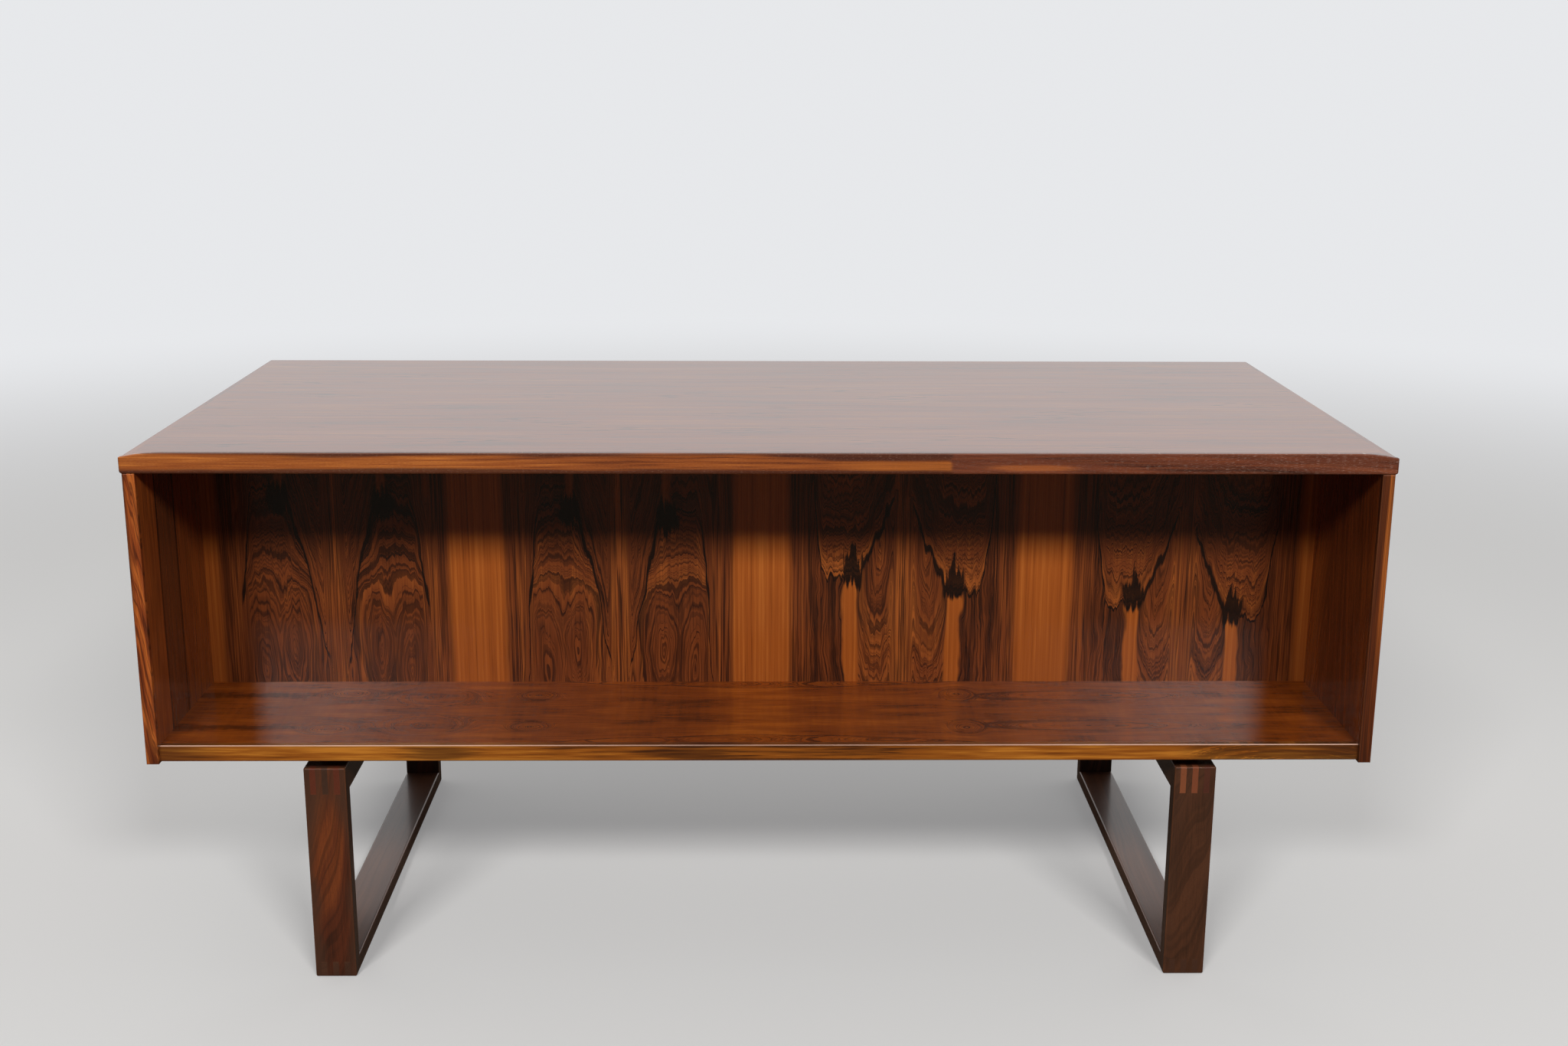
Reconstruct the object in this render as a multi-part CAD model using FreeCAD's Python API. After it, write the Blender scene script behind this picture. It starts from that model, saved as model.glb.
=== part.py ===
import FreeCAD, Part
import math
import os

from FreeCAD import Vector

# A freestanding rosewood desk in millimetres, +Z up, standing on the floor at z = 0.
# X runs along the desk, the open book bay faces -Y and the drawers open towards +Y.
# The origin is on the floor, under the middle of the desktop.

# Overall
desk_length = 1600.0
desk_depth = 750.0
desk_height = 730.0

# Desktop: a flat board, and a front lipping that stands above it and falls in an arc to both ends
top_thickness = 20.0
front_lip_rise = 7.0
front_lip_fall = 6.0
front_lip_run = 50.0
top_corner_radius = 4.0
top_lower_round = 3.5
top_upper_round = 1.5
top_lipping = 8.0
top_side_overhang = 3.0
top_face_overhang = 2.0

# Leg frames: two closed frames of posts and rails, box jointed at the corners
leg_inset = 195.0
leg_face_setback = 25.0
leg_frame_height = 301.0
leg_width = 55.0
post_depth = 23.0
top_rail_height = 37.0
bottom_rail_height = 22.0
leg_arris_radius = 2.5
finger_count = 7

# Bearers between the leg frames and the case
bearer_height = 17.0
bearer_width = 35.0
bearer_setback = 60.0

# Case boards
side_thickness = 16.0
side_skirt = 1.5
side_lipping = 8.0
edge_round = 1.5
floor_thickness = 22.0
shelf_setback = 7.0
shelf_lipping = 10.0
bay_depth = 256.0
back_thickness = 16.0
pedestal_width = 430.0
inner_side_thickness = 16.0

# Cleats that hold the desktop, one along each side of each pedestal
cleat_size = 20.0
cleat_front_gap = 5.0

# Drawers
drawer_back_gap = 44.0
front_thickness = 18.0
front_edge_gap = 1.5
front_between_gap = 2.0
front_round = 1.2
box_side_thickness = 11.0
box_back_thickness = 11.0
box_headroom = 22.0
bottom_thickness = 4.0
bottom_rise = 8.0
groove_depth = 4.0

# Dovetails at the four corners of a drawer
front_lap = 5.0
tail_pitch = 26.0
tail_slope_share = 0.14
tail_root_share = 0.58
tail_margin = 3.0

# Scooped finger grip in the upper edge of each drawer front
grip_width = 130.0
grip_depth = 16.0
grip_shoulder_radius = 12.0

# Runners under the drawer sides, with a stop block at the back of each
runner_width = 18.0
runner_height = 12.0
runner_front_gap = 2.0
running_gap = 0.3
stop_length = 14.0
stop_height = 15.0

# Screws
screw_head_radius = 5.0
screw_head_height = 4.0
screw_slot_width = 1.2
screw_slot_depth = 1.4
screw_shank_radius = 2.5
screw_tip_length = 5.0
screw_hole_gap = 0.1
leg_screw_length = 60.0
leg_screw_seat = 10.0
top_screw_length = 30.0
top_screw_seat = 6.0
leg_screw_shares = (-0.36, 0.05, 0.36)
top_screw_shares = (0.2, 0.8)

# Dowels that join the case boards to the upright panels
dowel_radius = 4.0
dowel_length = 30.0
dowel_in_panel = 10.0
dowel_radial_gap = 0.05
dowel_end_gap = 0.5
shelf_dowel_shares = (0.3, 0.7)
floor_dowel_shares = (0.12, 0.5, 0.88)
back_dowel_shares = (0.25, 0.75)

# One overrun serves every cut that has to pass a face
overrun = 2.0

# Planes of the case, worked out from the sizes above
writing_surface = desk_height - front_lip_rise
case_top = writing_surface - top_thickness
case_half = desk_length / 2 - top_side_overhang
case_front = -desk_depth / 2 + top_face_overhang
case_rear = -case_front
floor_under = leg_frame_height + bearer_height
floor_top = floor_under + floor_thickness
side_inner = case_half - side_thickness
shelf_front = case_front + shelf_setback
back_front = case_front + bay_depth
back_rear = back_front + back_thickness
kneehole_half = case_half - pedestal_width
pedestal_inner = kneehole_half + inner_side_thickness
drawer_front_rear = case_rear - front_thickness
drawer_box_rear = back_rear + drawer_back_gap

# A pedestal is named by the side of the middle that it stands on
sides = (("left", -1), ("right", 1))

# Each drawer with its pedestal, and the lowest and the highest level that it fills
levels = ("bottom", "middle", "top")
drawers = (
    ("top_left", "left", "top", "top"),
    ("middle_left", "left", "middle", "middle"),
    ("bottom_left", "left", "bottom", "bottom"),
    ("top_right", "right", "top", "top"),
    ("deep_right", "right", "bottom", "middle"),
)


def box(x_span, y_span, z_span):
    """A block between two planes each way, with each pair of planes in either order."""
    low = Vector(min(x_span), min(y_span), min(z_span))
    high = Vector(max(x_span), max(y_span), max(z_span))
    size = high - low
    return Part.makeBox(size.x, size.y, size.z, low)


def prism(points, z_low, z_high):
    """A plan outline carried straight up."""
    corners = [Vector(x, y, z_low) for x, y in points]
    face = Part.Face(Part.makePolygon(corners + corners[:1]))
    return face.extrude(Vector(0, 0, z_high - z_low))


def edges_where(shape, test):
    """The edges whose two ends and middle all pass a test."""
    chosen = []
    for edge in shape.Edges:
        middle = edge.valueAt((edge.FirstParameter + edge.LastParameter) / 2)
        points = [vertex.Point for vertex in edge.Vertexes] + [middle]
        if all(test(point) for point in points):
            chosen.append(edge)
    return chosen


def near(a, b):
    return abs(a - b) < 1e-4


def rounded(shape, radius, test):
    return shape.makeFillet(radius, edges_where(shape, test))


def fused(shapes):
    return shapes[0].multiFuse(shapes[1:]).removeSplitter()


def one_solid(shape):
    """The single solid that a cut or a common leaves inside its compound."""
    return shape.Solids[0]


def share_between(low, high, share):
    return low + (high - low) * share


# Desktop


def rounded_outside(shape, y_inner):
    """The outer arrises rounded, and those in the plane at y_inner left sharp where pieces meet."""
    half = desk_length / 2
    upper = max(vertex.Z for vertex in shape.Vertexes if near(abs(vertex.X), half))

    def outside(point):
        return near(abs(point.x), half) or abs(point.y - y_inner) > overrun

    def on_corner(point):
        return near(abs(point.x), half) and near(abs(point.y), desk_depth / 2)

    def on_underside(point):
        return outside(point) and near(point.z, case_top)

    def on_upper_edge(point):
        return outside(point) and point.z > upper - top_upper_round

    shape = rounded(shape, top_corner_radius, on_corner)
    shape = rounded(shape, top_lower_round, on_underside)
    return rounded(shape, top_upper_round, on_upper_edge)


def front_lipping():
    """The front strip, which stands above the board and falls in an arc to both ends."""
    half = desk_length / 2
    arc_radius = (front_lip_run**2 + front_lip_fall**2) / (2 * front_lip_fall)
    half_angle = math.asin(front_lip_run / arc_radius) / 2
    flat_end = half - front_lip_run
    arc_x = flat_end + arc_radius * math.sin(half_angle)
    arc_z = desk_height - arc_radius * (1 - math.cos(half_angle))
    end_top = desk_height - front_lip_fall
    y = -desk_depth / 2

    def at(x, z):
        return Vector(x, y, z)

    outline = Part.Wire(
        [
            Part.LineSegment(at(-half, case_top), at(half, case_top)).toShape(),
            Part.LineSegment(at(half, case_top), at(half, end_top)).toShape(),
            Part.Arc(at(half, end_top), at(arc_x, arc_z), at(flat_end, desk_height)).toShape(),
            Part.LineSegment(at(flat_end, desk_height), at(-flat_end, desk_height)).toShape(),
            Part.Arc(at(-flat_end, desk_height), at(-arc_x, arc_z), at(-half, end_top)).toShape(),
            Part.LineSegment(at(-half, end_top), at(-half, case_top)).toShape(),
        ]
    )
    strip = Part.Face(outline).extrude(Vector(0, top_lipping, 0))
    return rounded_outside(strip, y + top_lipping)


def desktop_parts():
    """The veneered board, the strips on its sides and rear, and the front strip."""
    x_out = desk_length / 2
    y_out = desk_depth / 2
    x_in = x_out - top_lipping
    y_in = y_out - top_lipping
    whole = rounded_outside(box((-x_out, x_out), (-y_in, y_out), (case_top, writing_surface)), -y_in)
    strips = {
        "rear": [(-x_out, y_out), (x_out, y_out), (x_in, y_in), (-x_in, y_in)],
        "left": [(-x_out, -y_in), (-x_in, -y_in), (-x_in, y_in), (-x_out, y_out)],
        "right": [(x_out, -y_in), (x_in, -y_in), (x_in, y_in), (x_out, y_out)],
    }
    z_low = case_top - overrun
    z_high = writing_surface + overrun
    panel = whole.common(box((-x_in, x_in), (-y_in, y_in), (z_low, z_high)))
    parts = {
        "desktop_panel": one_solid(panel.cut(top_screw_holes())),
        "desktop_lipping_front": front_lipping(),
    }
    for name, outline in strips.items():
        strip = whole.common(prism(outline, z_low, z_high))
        parts["desktop_lipping_" + name] = one_solid(strip)
    return parts


# Leg frames


def leg_centre(sign):
    return sign * (case_half - leg_inset - leg_width / 2)


def leg_planes(sign):
    centre = leg_centre(sign)
    x_span = (centre - leg_width / 2, centre + leg_width / 2)
    y_span = (case_front + leg_face_setback, case_rear - leg_face_setback)
    return x_span, y_span


def fingers(x_span, y_span, z_span, first):
    """Every other finger of a corner joint, starting from the first one given."""
    width = leg_width / finger_count
    low = min(x_span)
    slabs = []
    for index in range(first, finger_count, 2):
        slabs.append(box((low + index * width, low + (index + 1) * width), y_span, z_span))
    return slabs


def leg_frame_envelope(x_span, y_span):
    """One closed frame with every arris rounded, before it is split into four members."""
    near_y, far_y = y_span
    outer = box(x_span, y_span, (0, leg_frame_height))
    void = box(
        x_span,
        (near_y + post_depth, far_y - post_depth),
        (bottom_rail_height, leg_frame_height - top_rail_height),
    )

    def on_arris(point):
        at_side = near(point.x, x_span[0]) or near(point.x, x_span[1])
        at_corner = near(point.y, near_y) or near(point.y, far_y)
        at_end = near(point.z, 0) or near(point.z, leg_frame_height)
        return at_side or (at_corner and at_end)

    return rounded(outer.cut(void), leg_arris_radius, on_arris)


def leg_frame_parts(name, sign):
    """Posts keep the outer fingers of each corner, and rails run through between them."""
    x_span, y_span = leg_planes(sign)
    near_y, far_y = y_span
    near_block = (near_y, near_y + post_depth)
    far_block = (far_y - post_depth, far_y)
    low_block = (0, bottom_rail_height)
    high_block = (leg_frame_height - top_rail_height, leg_frame_height)
    whole = leg_frame_envelope(x_span, y_span)
    parts = {}
    for post, block in (("near_post", near_block), ("far_post", far_block)):
        region = [box(x_span, block, (bottom_rail_height, leg_frame_height - top_rail_height))]
        region += fingers(x_span, block, low_block, 0)
        region += fingers(x_span, block, high_block, 0)
        parts[post] = one_solid(whole.common(fused(region)))
    for rail, block in (("bottom_rail", low_block), ("top_rail", high_block)):
        region = [box(x_span, (near_y + post_depth, far_y - post_depth), block)]
        region += fingers(x_span, near_block, block, 1)
        region += fingers(x_span, far_block, block, 1)
        parts[rail] = one_solid(whole.common(fused(region)))
    parts["top_rail"] = one_solid(parts["top_rail"].cut(leg_screw_holes()))
    return {f"leg_{name}_{piece}": shape for piece, shape in parts.items()}


def bearer(sign):
    centre = leg_centre(sign)
    near_y, far_y = leg_planes(sign)[1]
    block = box(
        (centre - bearer_width / 2, centre + bearer_width / 2),
        (near_y + bearer_setback, far_y - bearer_setback),
        (leg_frame_height, floor_under),
    )
    return one_solid(block.cut(leg_screw_holes()))


# Screws


def screw(length, place):
    """A slotted wood screw that points up, with the underside of its head at the place given."""
    head = Part.makeCylinder(screw_head_radius, screw_head_height)
    slot = box(
        (-screw_head_radius - overrun, screw_head_radius + overrun),
        (-screw_slot_width / 2, screw_slot_width / 2),
        (-overrun, screw_slot_depth),
    )
    shank_end = length - screw_tip_length
    shank = Part.makeCylinder(
        screw_shank_radius, shank_end - screw_head_height, Vector(0, 0, screw_head_height)
    )
    tip = Part.makeCone(screw_shank_radius, 0, screw_tip_length, Vector(0, 0, shank_end))
    whole = fused([head.cut(slot), shank, tip])
    whole.translate(place - Vector(0, 0, screw_head_height))
    return one_solid(whole)


def screw_hole(length, seat_depth, place):
    """The counterbore and the pilot hole for a screw whose head seats at the place given."""
    bore_radius = screw_head_radius + screw_hole_gap
    pilot_radius = screw_shank_radius + screw_hole_gap
    bore = Part.makeCylinder(
        bore_radius, seat_depth + overrun, place - Vector(0, 0, seat_depth + overrun)
    )
    pilot = Part.makeCylinder(pilot_radius, length - screw_head_height + screw_hole_gap, place)
    return bore.fuse(pilot)


def leg_screw_places():
    places = []
    seat_z = leg_frame_height - top_rail_height + leg_screw_seat
    for _, sign in sides:
        near_y, far_y = leg_planes(sign)[1]
        for share in leg_screw_shares:
            places.append(Vector(leg_centre(sign), (far_y - near_y) * share, seat_z))
    return places


def top_screw_places():
    places = []
    seat_z = case_top - cleat_size + top_screw_seat
    for x_span, y_span in cleat_spans():
        for share in top_screw_shares:
            y = share_between(y_span[0], y_span[1], share)
            places.append(Vector(sum(x_span) / 2, y, seat_z))
    return places


def leg_screw_holes():
    holes = [screw_hole(leg_screw_length, leg_screw_seat, place) for place in leg_screw_places()]
    return Part.makeCompound(holes)


def top_screw_holes():
    holes = [screw_hole(top_screw_length, top_screw_seat, place) for place in top_screw_places()]
    return Part.makeCompound(holes)


# Dowels


def dowel_places():
    """Each dowel as the joint plane it crosses, the way into its panel, and its height."""
    floor_mid = floor_under + floor_thickness / 2
    back_mid = back_front + back_thickness / 2
    places = []
    for _, sign in sides:
        for share in shelf_dowel_shares:
            y = share_between(shelf_front + shelf_lipping, back_front, share)
            places.append((sign * side_inner, sign, y, floor_mid))
        for share in back_dowel_shares:
            z = share_between(floor_top, case_top, share)
            places.append((sign * side_inner, sign, back_mid, z))
        for share in floor_dowel_shares:
            y = share_between(back_rear, case_rear, share)
            places.append((sign * side_inner, sign, y, floor_mid))
            places.append((sign * pedestal_inner, -sign, y, floor_mid))
    return places


def dowel_rod(place, radius, end_gap):
    x_joint, into_panel, y, z = place
    start = Vector(x_joint + into_panel * (dowel_in_panel + end_gap), y, z)
    return Part.makeCylinder(radius, dowel_length + 2 * end_gap, start, Vector(-into_panel, 0, 0))


def dowels():
    return Part.makeCompound([dowel_rod(place, dowel_radius, 0) for place in dowel_places()])


def dowel_holes():
    radius = dowel_radius + dowel_radial_gap
    return Part.makeCompound([dowel_rod(place, radius, dowel_end_gap) for place in dowel_places()])


# Case


def side_panel_parts(name, sign):
    """An upright end panel and the solid strips on its two narrow faces."""
    x_span = (sign * side_inner, sign * case_half)
    z_span = (floor_under - side_skirt, case_top)
    y_core = (case_front + side_lipping, case_rear - side_lipping)
    panel = one_solid(box(x_span, y_core, z_span).cut(dowel_holes()))
    parts = {f"side_panel_{name}": panel}
    for end, face_y, core_y in (("front", case_front, y_core[0]), ("rear", case_rear, y_core[1])):
        strip = box(x_span, (face_y, core_y), z_span)
        parts[f"side_lipping_{name}_{end}"] = rounded(
            strip, edge_round, lambda point, y=face_y: near(point.y, y)
        )
    return parts


def bay_parts():
    """The bay's floor with its front strip, and the panel behind the books."""
    x_span = (-side_inner, side_inner)
    shelf_edge = shelf_front + shelf_lipping
    z_span = (floor_under, floor_top)
    shelf = box(x_span, (shelf_edge, back_rear), z_span)
    shelf = shelf.cut(dowel_holes()).cut(leg_screw_holes())
    strip = box(x_span, (shelf_front, shelf_edge), z_span)

    def on_long_front_edge(point):
        return near(point.y, shelf_front) and (near(point.z, floor_top) or near(point.z, floor_under))

    back = box(x_span, (back_front, back_rear), (floor_top, case_top)).cut(dowel_holes())
    return {
        "bay_shelf": one_solid(shelf),
        "bay_shelf_lipping": rounded(strip, edge_round, on_long_front_edge),
        "bay_back_panel": one_solid(back),
    }


def pedestal_parts(name, sign):
    """The floor board of a pedestal and its upright side towards the knees."""
    y_span = (back_rear, case_rear)

    def on_long_rear_edge(point):
        return near(point.y, case_rear) and (near(point.z, floor_top) or near(point.z, floor_under))

    floor = box((sign * pedestal_inner, sign * side_inner), y_span, (floor_under, floor_top))
    floor = rounded(floor, edge_round, on_long_rear_edge)
    floor = floor.cut(dowel_holes()).cut(leg_screw_holes())
    inner_z = (floor_under - side_skirt, case_top)
    inner = box((sign * kneehole_half, sign * pedestal_inner), y_span, inner_z)
    inner = rounded(inner, edge_round, lambda point: near(point.y, case_rear))
    return {
        f"pedestal_{name}_floor": one_solid(floor),
        f"pedestal_{name}_inner_side": one_solid(inner.cut(dowel_holes())),
    }


def against_panels(sign, width):
    """The two strips of X, as wide as given, that lie against a pedestal's upright panels."""
    outer = (sign * side_inner, sign * (side_inner - width))
    inner = (sign * pedestal_inner, sign * (pedestal_inner + width))
    return outer, inner


def cleat_spans():
    y_span = (back_rear, drawer_front_rear - cleat_front_gap)
    return [(x_span, y_span) for _, sign in sides for x_span in against_panels(sign, cleat_size)]


def cleats():
    holes = top_screw_holes()
    z_span = (case_top - cleat_size, case_top)
    strips = [box(x_span, y_span, z_span).cut(holes) for x_span, y_span in cleat_spans()]
    return Part.makeCompound([one_solid(strip) for strip in strips])


# Drawers


def level_height():
    gaps = 2 * front_edge_gap + (len(levels) - 1) * front_between_gap
    return (case_top - floor_top - gaps) / len(levels)


def front_span(lowest, highest):
    """The lower and upper edge of a drawer front."""
    step = level_height() + front_between_gap
    base = floor_top + front_edge_gap
    return base + levels.index(lowest) * step, base + levels.index(highest) * step + level_height()


def runner_top(front_low):
    return front_low - front_edge_gap + runner_height


def drawer_planes(side, lowest, highest):
    """Where one drawer's front and box lie: X span, front Z span, box Z span."""
    sign = dict(sides)[side]
    inner = pedestal_inner + front_edge_gap
    outer = side_inner - front_edge_gap
    x_span = (min(sign * inner, sign * outer), max(sign * inner, sign * outer))
    front_z = front_span(lowest, highest)
    box_z = (runner_top(front_z[0]) + running_gap, front_z[1] - box_headroom)
    return x_span, front_z, box_z


def tails(x_span, y_root, y_tip, z_low, z_high):
    """Dovetails along the end of a drawer side, each wider at its tip than at its root."""
    count = max(2, round((z_high - z_low) / tail_pitch))
    pitch = (z_high - z_low) / count
    half_root = pitch * tail_root_share / 2
    half_tip = half_root + abs(y_tip - y_root) * tail_slope_share
    shapes = []
    for index in range(count):
        middle = z_low + (index + 0.5) * pitch
        corners = [
            Vector(x_span[0], y_root, middle - half_root),
            Vector(x_span[0], y_root, middle + half_root),
            Vector(x_span[0], y_tip, middle + half_tip),
            Vector(x_span[0], y_tip, middle - half_tip),
        ]
        face = Part.Face(Part.makePolygon(corners + corners[:1]))
        shapes.append(face.extrude(Vector(x_span[1] - x_span[0], 0, 0)))
    return shapes


def side_spans(x_span):
    """The X spans of a drawer box's two sides."""
    low, high = x_span
    return (low, low + box_side_thickness), (high - box_side_thickness, high)


def bottom_planes(x_span, box_z):
    """The drawer's thin bottom, let into grooves in the front and the two sides."""
    inset = box_side_thickness - groove_depth
    low = box_z[0] + bottom_rise
    return (
        (x_span[0] + inset, x_span[1] - inset),
        (drawer_box_rear, drawer_front_rear + groove_depth),
        (low, low + bottom_thickness),
    )


def corner_tails(x_span, box_z):
    """The tails of both sides: half blind at the front, through at the back."""
    z_low = box_z[0] + bottom_rise + bottom_thickness + tail_margin
    z_high = box_z[1] - tail_margin
    lap_tip = case_rear - front_lap
    rear_root = drawer_box_rear + box_back_thickness
    shapes = []
    for span in side_spans(x_span):
        front_tails = tails(span, drawer_front_rear, lap_tip, z_low, z_high)
        rear_tails = tails(span, rear_root, drawer_box_rear, z_low, z_high)
        shapes.append((front_tails, rear_tails))
    return shapes


def grip_scoop(x_mid, z_top):
    """A wide shallow arc to be cut from the upper edge of a drawer front."""
    radius = ((grip_width / 2) ** 2 + grip_depth**2) / (2 * grip_depth)
    start = Vector(x_mid, drawer_front_rear - overrun, z_top - grip_depth + radius)
    return Part.makeCylinder(radius, front_thickness + 2 * overrun, start, Vector(0, 1, 0))


def drawer_front(x_span, front_z, bottom, joints):
    """The show face, with its scooped grip, its groove and the sockets for the side's tails."""
    x_mid = sum(x_span) / 2
    z_top = front_z[1]
    board = box(x_span, (drawer_front_rear, case_rear), front_z)
    board = board.cut(grip_scoop(x_mid, z_top))

    def on_shoulder(point):
        return near(abs(point.x - x_mid), grip_width / 2) and near(point.z, z_top)

    board = rounded(board, grip_shoulder_radius, on_shoulder)
    board = rounded(board, front_round, lambda point: near(point.y, case_rear))
    sockets = [tail for front_tails, _ in joints for tail in front_tails]
    return one_solid(board.cut(sockets + [box(*bottom)]))


def drawer_side(span, box_z, bottom, joint):
    front_tails, rear_tails = joint
    y_span = (drawer_box_rear + box_back_thickness, drawer_front_rear)
    under_back = (drawer_box_rear, y_span[0])
    foot_z = (box_z[0], box_z[0] + bottom_rise + bottom_thickness)
    board = box(span, y_span, box_z)
    foot = box(span, under_back, foot_z)
    side = fused([board, foot] + front_tails + rear_tails)
    return one_solid(side.cut(box(*bottom)))


def drawer_back(x_span, box_z, bottom, joints):
    """The back stands on the bottom, which slides in beneath it."""
    y_span = (drawer_box_rear, drawer_box_rear + box_back_thickness)
    board = box(x_span, y_span, (bottom[2][1], box_z[1]))
    return one_solid(board.cut([tail for _, rear_tails in joints for tail in rear_tails]))


def drawer_parts(name, side, lowest, highest):
    x_span, front_z, box_z = drawer_planes(side, lowest, highest)
    bottom = bottom_planes(x_span, box_z)
    joints = corner_tails(x_span, box_z)
    low_side, high_side = side_spans(x_span)
    parts = {
        "front": drawer_front(x_span, front_z, bottom, joints),
        "left_side": drawer_side(low_side, box_z, bottom, joints[0]),
        "right_side": drawer_side(high_side, box_z, bottom, joints[1]),
        "back": drawer_back(x_span, box_z, bottom, joints),
        "bottom": box(*bottom),
    }
    return {f"drawer_{name}_{piece}": shape for piece, shape in parts.items()}


def runner_places():
    """Each runner's pedestal, X span and upper face."""
    places = []
    for _, side, lowest, highest in drawers:
        top = runner_top(front_span(lowest, highest)[0])
        for x_span in against_panels(dict(sides)[side], runner_width):
            places.append((side, x_span, top))
    return places


def runners(wanted_side):
    """The strips that carry the drawers of one pedestal."""
    y_span = (back_rear, drawer_front_rear - runner_front_gap)
    strips = []
    for side, x_span, top in runner_places():
        if side == wanted_side:
            strips.append(box(x_span, y_span, (top - runner_height, top)))
    return Part.makeCompound(strips)


def stops():
    """Blocks on the runners that a closed drawer's sides come up against."""
    y_high = drawer_box_rear - running_gap
    blocks = []
    for _, x_span, top in runner_places():
        blocks.append(box(x_span, (y_high - stop_length, y_high), (top, top + stop_height)))
    return Part.makeCompound(blocks)


def all_parts():
    parts = {}
    parts.update(desktop_parts())
    parts.update(bay_parts())
    for name, sign in sides:
        parts.update(side_panel_parts(name, sign))
        parts.update(pedestal_parts(name, sign))
        parts.update(leg_frame_parts(name, sign))
        parts[f"leg_{name}_bearer"] = bearer(sign)
        parts[f"drawer_runners_{name}"] = runners(name)
    for drawer in drawers:
        parts.update(drawer_parts(*drawer))
    parts["drawer_stops"] = stops()
    parts["desktop_cleats"] = cleats()
    parts["case_dowels"] = dowels()
    leg_screws = [screw(leg_screw_length, place) for place in leg_screw_places()]
    top_screws = [screw(top_screw_length, place) for place in top_screw_places()]
    parts["leg_screws"] = Part.makeCompound(leg_screws)
    parts["desktop_screws"] = Part.makeCompound(top_screws)
    return parts


def main():
    os.makedirs("parts", exist_ok=True)
    parts = all_parts()
    for node, shape in parts.items():
        shape.exportStep(f"parts/{node}.step")
    print(len(parts), "nodes written")


main()
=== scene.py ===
import math

import bpy
from mathutils import Matrix, Vector


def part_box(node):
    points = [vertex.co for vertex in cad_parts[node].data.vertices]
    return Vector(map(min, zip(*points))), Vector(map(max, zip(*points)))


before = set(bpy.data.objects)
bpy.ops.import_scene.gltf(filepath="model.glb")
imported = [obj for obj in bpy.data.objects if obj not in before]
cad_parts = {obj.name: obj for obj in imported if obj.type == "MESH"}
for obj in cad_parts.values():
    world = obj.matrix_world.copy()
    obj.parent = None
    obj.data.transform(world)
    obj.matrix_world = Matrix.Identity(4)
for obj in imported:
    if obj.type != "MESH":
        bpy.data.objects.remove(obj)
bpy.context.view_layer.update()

# The camera, from the perspective of the desk's own edges in the photograph
image_width = 2048
focal_pixels = 2407.9
sensor_width = 36.0
camera_place = Vector((-0.0082, -2.6210, 1.2163))
camera_pitch = 0.25086
camera_yaw = -0.01600
camera_roll = 0.00445

# Studio: two lamps high in front with a soft gloss of their own, small lamps lower down that show
# only as sheen in the bay, and a pale surround that is brightest behind the desk
lamp_side = 2.5
lamp_back = 7.0
lamp_aim = Vector((0.0, -0.1, 0.5))
key_height = 5.0
key_size = (2.0, 1.1)
key_power = 315.0
gloss_size = (4.2, 2.8)
gloss_power = 110.0
sheen_height = 2.95
sheen_size = (0.8, 0.45)
surround_front = 0.03
surround_back = 0.77
surround_up = 0.25
backdrop_tint = (0.80, 0.81, 0.83, 1.0)
floor_size = 60.0
floor_near = 2.2
floor_far = 6.0

# The sheen lamps' power, by the one node that each pair lights. The panel's light shows in the
# shelf's gloss, and the shelf's light in the panel's.
sheen_powers = {"bay_back_panel": 58.0, "bay_shelf": 13.0}

# The book-matched panel: heights over the bay's floor, and places across a leaf from the seam
# beside its figure, where across is 0, to the plain band at its other edge
bay_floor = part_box("bay_back_panel")[0].z
leaf_width = 0.2
arch_tip = 0.285
arch_step = -0.010
bowl_tip = 0.235
bowl_step = -0.020
tip_across = 0.070
flank_in = 0.062
flank_out = 0.112
bleed_height = 0.135
bleed_reach = 0.03
least_rim_width = 0.0006

# Spans over which something comes in, in metres: there is none of it at the first value and all
# of it at the second. Across a leaf of the panel:
seam_calm_span = (0.018, 0.006)
seam_open_span = (0.010, 0.016)
heart_span = (0.030, 0.0)
flank_in_span = (flank_in + 0.006, flank_in - 0.006)
flank_out_span = (flank_out - 0.004, flank_out + 0.008)
nest_span = (0.066, 0.056)
past_nest_span = (0.060, 0.072)
shade_start_span = (0.075, 0.085)
shade_end_span = (0.132, 0.120)
outer_side_span = (0.10, 0.116)
band_calm_span = (0.122, 0.136)
band_open_span = (0.134, 0.130)
margin_span = (0.126, 0.134)
band_span = (0.154, 0.168)

# Sideways from the tip of an arch or bowl, then from the middle of the ink blot there, and
# outwards from the edge of the light tongue
near_tip_span = (0.024, 0.002)
below_tip_span = (0.024, 0.010)
blot_span = (0.036, 0.0)
tongue_edge_span = (0.0018, -0.0018)

# Up a leaf, and then by the depth inside its arch or bowl
foot_span = (0.22, 0.0)
knots_span = (0.20, 0.13)
rim_span = (-0.002, 0.002)
glow_span = (0.13, 0.02)
thick_rim_span = (0.17, 0.03)
smear_span = (-0.11, 0.0)
tongue_span = (-0.004, -0.012)

# Along the desktop's front lipping, from left to right
dimmed_span = (-0.45, 0.0)
crest_span = (-0.02, 0.10)
golden_span = (0.07, 0.15)
pale_hair_span = (0.25, 0.75)

# From the desk's middle towards its ends, along the panel, the shelf and the shelf's lipping
# The panel's painted shade beside the side panels comes in over this span
panel_end_painted_shade_span = (0.66, 0.74)
shelf_end_span = (0.60, 0.76)
lipping_middle_span = (0.35, 0.10)
lipping_arcs_span = (0.53, 0.60)
lipping_end_span = (0.68, 0.775)
# The painted highlight on the shelf lipping's top arris grows over this span
arris_highlight_strength_span = (0.05, 0.5)

# Backwards from the front of a side panel, from the middle between its lines, and from a line
left_front_span = (0.066, 0.056)
left_back_span = (0.17, 0.20)
right_back_span = (0.17, 0.24)
between_lines_span = (0.040, 0.028)
first_line_span = (0.0042, 0.0016)
second_line_span = (0.0048, 0.0018)

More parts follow.
